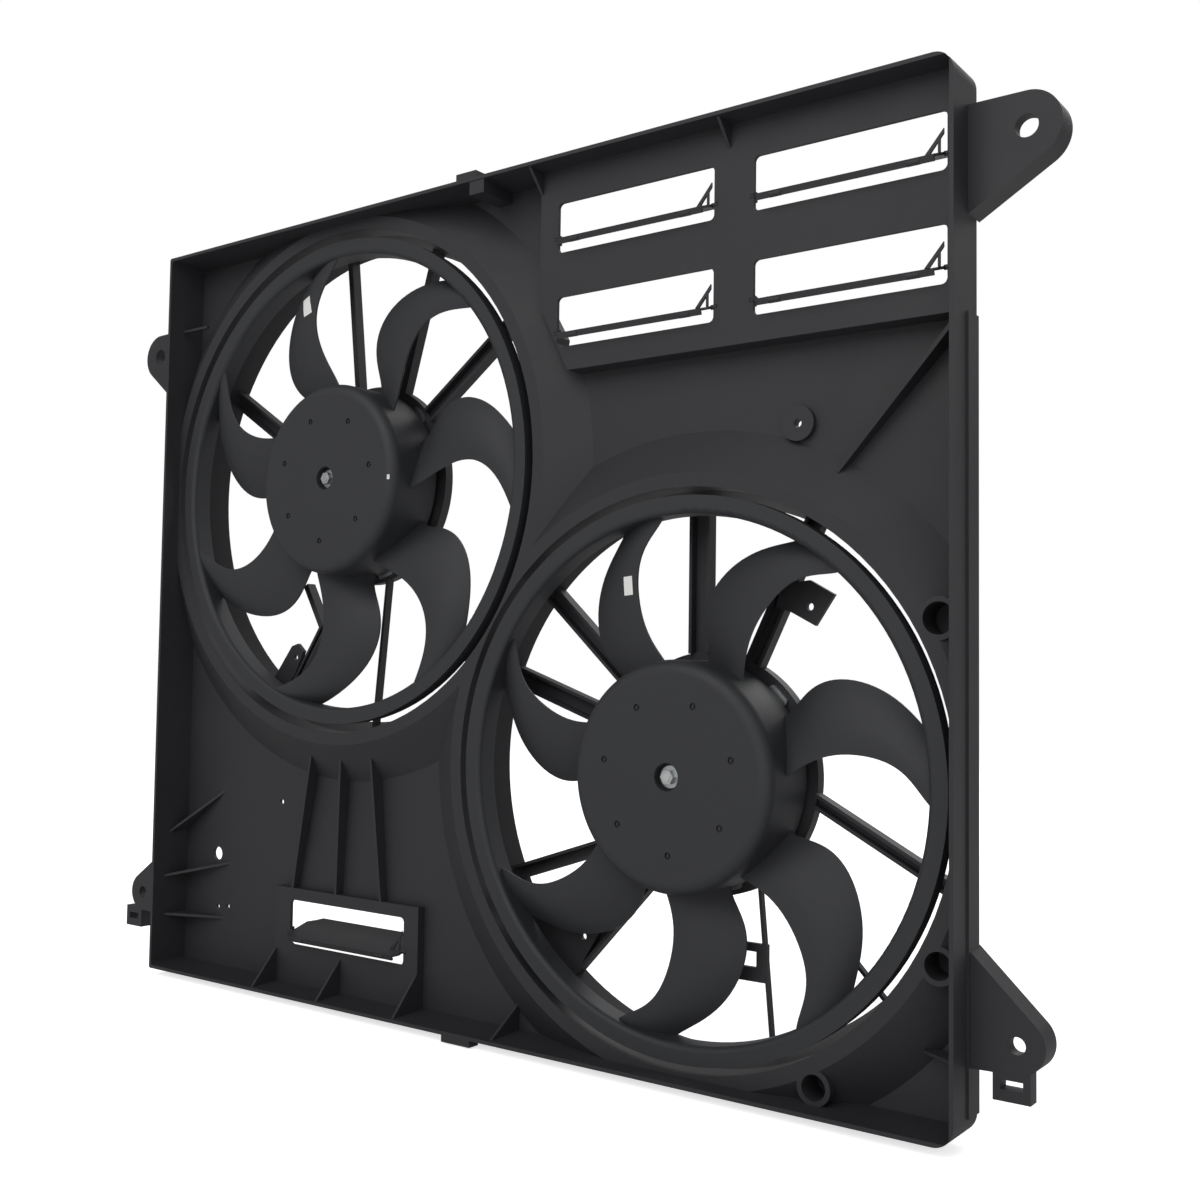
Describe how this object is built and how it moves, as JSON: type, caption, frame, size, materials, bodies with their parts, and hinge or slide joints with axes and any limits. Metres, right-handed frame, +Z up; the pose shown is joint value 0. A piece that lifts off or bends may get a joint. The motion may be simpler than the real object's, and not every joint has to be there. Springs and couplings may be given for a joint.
{
  "type": "radiator cooling fan",
  "caption": "Flat moulded fan shroud for a radiator, with side-by-side ring fans of unequal size on electric motors, ram-air flaps and bolt ears.",
  "frame": {"origin": "centre of the lower left ear's bolt hole, at the ear's front face", "axes": "+X to the right along the shroud as seen from the radiator, +Y back along the fans' axes towards the engine, +Z up"},
  "size_m": [0.7883, 0.0755, 0.589],
  "materials": {
    "shroud_moulding": "fine grained black moulding",
    "fan_moulding": "satin black moulding",
    "flap_moulding": "satin black moulding",
    "motor_steel": "zinc-plated drawn steel",
    "socket_plastic": "satin",
    "sintered_bronze": "matte",
    "ground_steel": "ground",
    "zinc_steel": "zinc-plated",
    "ferrite": "ground ceramic",
    "laminated_steel": "laminations and enamelled wire",
    "copper_bars": "turned",
    "card_phenolic": "matte"
  },
  "bodies": {
    "shroud": {"shroud": "shroud_moulding", "rim": "shroud_moulding", "upper_window_panel": "shroud_moulding", "lower_window_panel": "shroud_moulding", "ear_top_right": "shroud_moulding", "ear_low_right": "shroud_moulding", "ear_top_left": "shroud_moulding", "ear_low_left": "shroud_moulding", "motor_seat_left": "shroud_moulding", "motor_seat_right": "shroud_moulding", "barrel_left": "shroud_moulding", "barrel_right": "shroud_moulding", "spider_left": "shroud_moulding", "spider_right": "shroud_moulding", "motor_can_left": "motor_steel", "motor_cap_left": "motor_steel", "plug_socket_left": "socket_plastic", "front_bearing_left": "sintered_bronze", "rear_bearing_left": "sintered_bronze", "magnet_low_left": "ferrite", "magnet_high_left": "ferrite", "brush_card_left": "card_phenolic", "motor_screw_left_1": "zinc_steel", "motor_screw_left_2": "zinc_steel", "motor_screw_left_3": "zinc_steel", "motor_can_right": "motor_steel", "motor_cap_right": "motor_steel", "plug_socket_right": "socket_plastic", "front_bearing_right": "sintered_bronze", "rear_bearing_right": "sintered_bronze", "magnet_low_right": "ferrite", "magnet_high_right": "ferrite", "brush_card_right": "card_phenolic", "motor_screw_right_1": "zinc_steel", "motor_screw_right_2": "zinc_steel", "motor_screw_right_3": "zinc_steel"},
    "fan_left": {"hub_left": "fan_moulding", "blades_left": "fan_moulding", "ring_left": "fan_moulding", "shaft_left": "ground_steel", "washer_left": "zinc_steel", "shaft_nut_left": "zinc_steel", "armature_left": "laminated_steel", "commutator_left": "copper_bars"},
    "fan_right": {"hub_right": "fan_moulding", "blades_right": "fan_moulding", "ring_right": "fan_moulding", "shaft_right": "ground_steel", "washer_right": "zinc_steel", "shaft_nut_right": "zinc_steel", "armature_right": "laminated_steel", "commutator_right": "copper_bars"},
    "flap_upper_middle": {"flap_upper_middle": "flap_moulding"},
    "flap_lower_middle": {"flap_lower_middle": "flap_moulding"},
    "flap_upper_right": {"flap_upper_right": "flap_moulding"},
    "flap_lower_right": {"flap_lower_right": "flap_moulding"},
    "flap_low_left": {"flap_low_left": "flap_moulding"}
  },
  "joints": [
    {"name": "left_fan_spin", "type": "hinge", "parent": "shroud", "child": "fan_left", "pos_m": [0.2325, -0.0006, 0.32947], "axis": [0, 1, 0], "continuous": true},
    {"name": "right_fan_spin", "type": "hinge", "parent": "shroud", "child": "fan_right", "pos_m": [0.53693, -0.0006, 0.1272], "axis": [0, 1, 0], "continuous": true},
    {"name": "flap_lower_middle_swing", "type": "hinge", "parent": "shroud", "child": "flap_lower_middle", "pos_m": [0.49693, -0.00335, 0.41257], "axis": [1, 0, 0], "range_deg": [0, 72]},
    {"name": "flap_upper_middle_swing", "type": "hinge", "parent": "shroud", "child": "flap_upper_middle", "pos_m": [0.49693, -0.00335, 0.47576], "axis": [1, 0, 0], "range_deg": [0, 72]},
    {"name": "flap_lower_right_swing", "type": "hinge", "parent": "shroud", "child": "flap_lower_right", "pos_m": [0.64573, -0.00335, 0.41257], "axis": [1, 0, 0], "range_deg": [0, 72]},
    {"name": "flap_upper_right_swing", "type": "hinge", "parent": "shroud", "child": "flap_upper_right", "pos_m": [0.64573, -0.00335, 0.47576], "axis": [1, 0, 0], "range_deg": [0, 72]},
    {"name": "flap_low_left_swing", "type": "hinge", "parent": "shroud", "child": "flap_low_left", "pos_m": [0.2398, 0.00515, -0.0112], "axis": [1, 0, 0], "range_deg": [0, 72]}
  ]
}
